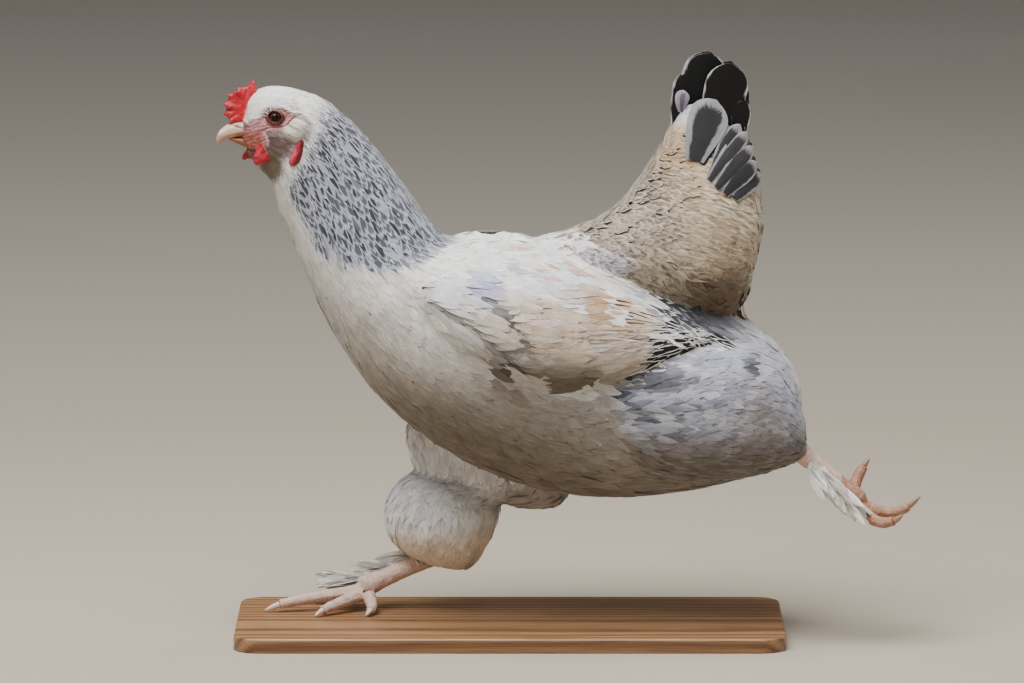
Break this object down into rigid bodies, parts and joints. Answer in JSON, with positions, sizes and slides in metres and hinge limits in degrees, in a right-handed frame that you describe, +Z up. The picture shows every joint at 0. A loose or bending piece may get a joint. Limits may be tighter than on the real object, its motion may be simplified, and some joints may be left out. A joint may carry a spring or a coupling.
{
  "type": "running hen display model",
  "caption": "Life-size still model of a pale, feather-footed hen in mid run, standing by one foot on a flat base.",
  "frame": {"origin": "middle of the base's underside", "axes": "+Z up; the hen runs towards -X, so its left side faces -Y"},
  "size_m": [0.575, 0.2026, 0.4813],
  "materials": {
    "plumage_white": "soft white feathers with slate markings",
    "plumage_buff": "sandy feathers with pale edges and grey flecks",
    "plumage_black": "near-black feathers with fine white edges",
    "comb_flesh": "granular red skin",
    "leg_skin": "pinkish white scaled skin",
    "horn": "satin horn",
    "eye": "wet orange-brown",
    "stand_wood": "satin oiled oak"
  },
  "bodies": {
    "root": {"beak_lower": "horn", "beak_upper": "horn", "breast": "plumage_white", "claw_hallux_left": "horn", "claw_hallux_right": "horn", "claw_toe_2_left": "horn", "claw_toe_2_right": "horn", "claw_toe_3_left": "horn", "claw_toe_3_right": "horn", "claw_toe_4_left": "horn", "claw_toe_4_right": "horn", "comb": "comb_flesh", "drumstick_right": "plumage_white", "earlobe_left": "comb_flesh", "earlobe_right": "comb_flesh", "eye_left": "eye", "eye_right": "eye", "foot_feathers_left": "plumage_white", "foot_feathers_right": "plumage_white", "hallux_left": "leg_skin", "hallux_right": "leg_skin", "head": "plumage_white", "muff_left": "plumage_white", "muff_right": "plumage_white", "neck": "plumage_white", "rump": "plumage_white", "shank_left": "leg_skin", "shank_right": "leg_skin", "stand_base": "stand_wood", "tail_cushion": "plumage_buff", "tail_feather_left_1": "plumage_black", "tail_feather_left_2": "plumage_black", "tail_feather_left_3": "plumage_black", "tail_feather_left_4": "plumage_black", "tail_feather_right_1": "plumage_black", "tail_feather_right_2": "plumage_black", "tail_feather_right_3": "plumage_black", "tail_feather_right_4": "plumage_black", "thigh_left": "plumage_white", "thigh_right": "plumage_white", "toe_2_left": "leg_skin", "toe_2_right": "leg_skin", "toe_3_left": "leg_skin", "toe_3_right": "leg_skin", "toe_4_left": "leg_skin", "toe_4_right": "leg_skin", "trunk": "plumage_white", "wattle_left": "comb_flesh", "wattle_right": "comb_flesh", "wing_left": "plumage_white", "wing_right": "plumage_white"}
  },
  "joints": []
}
